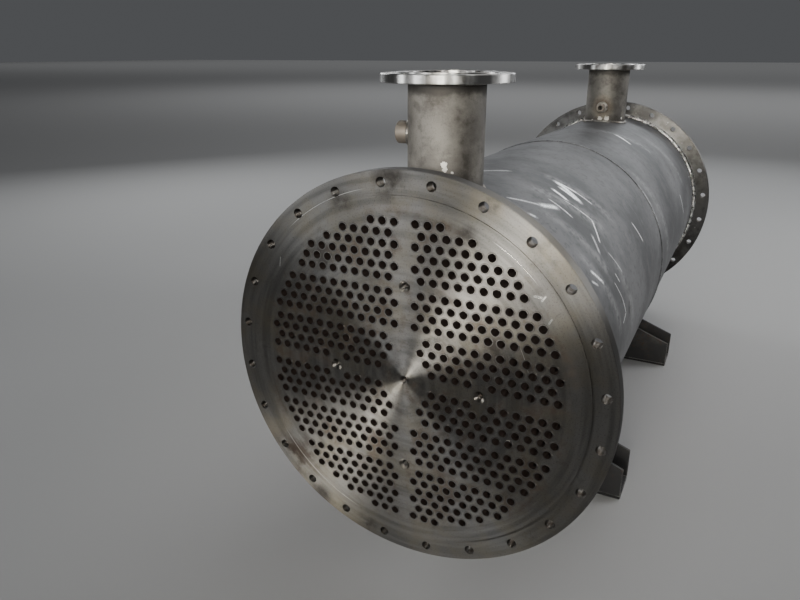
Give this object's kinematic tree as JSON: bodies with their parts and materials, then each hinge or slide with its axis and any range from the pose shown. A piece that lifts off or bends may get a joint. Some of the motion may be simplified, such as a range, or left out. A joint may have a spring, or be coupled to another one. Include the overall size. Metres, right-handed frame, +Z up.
{
  "type": "shell and tube heat exchanger",
  "caption": "Stainless shell and tube heat exchanger body with drilled tubesheets, a tube bundle, flanged nozzles on top and saddles below.",
  "frame": {"origin": "on the ground under the middle of the shell", "axes": "+Y runs along the shell from the front tubesheet to the rear one, +Z is up, +X is to the right when looking along +Y"},
  "size_m": [0.8359, 2.008, 1.0705],
  "materials": {
    "shell": "dull rolled stainless plate with ground streaks",
    "tubesheets": "turned stainless face, stained between the holes",
    "welds": "bright weld bead",
    "pipes": "dull rolled pipe with heat tint",
    "flanges": "turned stainless",
    "tubes": "drawn stainless tube",
    "inner_steel": "plain plate and bar with a dull skin",
    "saddles": "dark primed steel plate with worn edges"
  },
  "bodies": {
    "root": {"front_tubesheet": "tubesheets", "rear_tubesheet": "tubesheets", "front_shell_course": "shell", "rear_shell_course": "shell", "front_shell_weld": "welds", "rear_shell_weld": "welds", "girth_weld": "welds", "front_nozzle_pipe": "pipes", "rear_nozzle_pipe": "pipes", "front_nozzle_flange": "flanges", "rear_nozzle_flange": "flanges", "front_nozzle_weld": "welds", "rear_nozzle_weld": "welds", "front_flange_weld": "welds", "rear_flange_weld": "welds", "front_coupling": "pipes", "rear_coupling": "pipes", "front_coupling_weld": "welds", "rear_coupling_weld": "welds", "tubes_upper_outer_left": "tubes", "tubes_upper_outer_right": "tubes", "tubes_upper_middle_left": "tubes", "tubes_upper_middle_right": "tubes", "tubes_upper_inner_left": "tubes", "tubes_upper_inner_right": "tubes", "tubes_lower_inner_left": "tubes", "tubes_lower_inner_right": "tubes", "tubes_lower_middle_left": "tubes", "tubes_lower_middle_right": "tubes", "tubes_lower_outer_left": "tubes", "tubes_lower_outer_right": "tubes", "front_baffle": "inner_steel", "middle_baffle": "inner_steel", "rear_baffle": "inner_steel", "tie_rods": "inner_steel", "spacer_tubes": "tubes", "tie_rod_nuts": "inner_steel", "front_saddle_base": "saddles", "front_saddle_webs": "saddles", "front_saddle_ribs": "saddles", "rear_saddle_base": "saddles", "rear_saddle_webs": "saddles", "rear_saddle_ribs": "saddles"}
  },
  "joints": []
}
